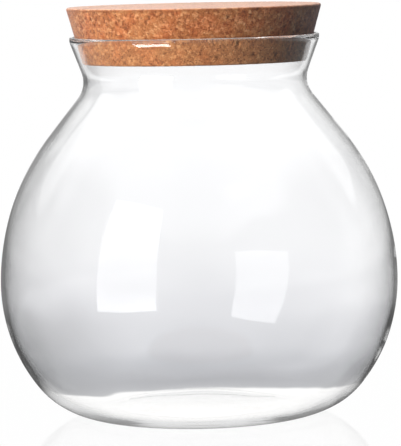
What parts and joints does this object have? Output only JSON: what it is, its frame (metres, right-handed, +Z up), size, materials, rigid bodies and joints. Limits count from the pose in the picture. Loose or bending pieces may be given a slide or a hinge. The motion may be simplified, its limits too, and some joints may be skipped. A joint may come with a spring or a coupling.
{
  "type": "glass jar with cork lid",
  "caption": "Round-bellied clear glass storage jar with a narrow throat, a flared lip and a tapered cork lid that lifts out of the mouth.",
  "frame": {"origin": "middle of the foot, on the surface that the jar stands on", "axes": "+Z up along the jar's axis, out of its mouth; X and Y are alike, and the picture looks along +Y"},
  "size_m": [0.23, 0.23, 0.2365],
  "materials": {
    "clear_glass": "polished",
    "pressed_cork": "matte"
  },
  "bodies": {
    "jar": {"glass_jar": "clear_glass"},
    "lid": {"cork_lid": "pressed_cork"}
  },
  "joints": [
    {"name": "cork_lift", "type": "slide", "parent": "jar", "child": "lid", "axis": [0, 0, 1], "range_m": [0, 0.06]}
  ]
}
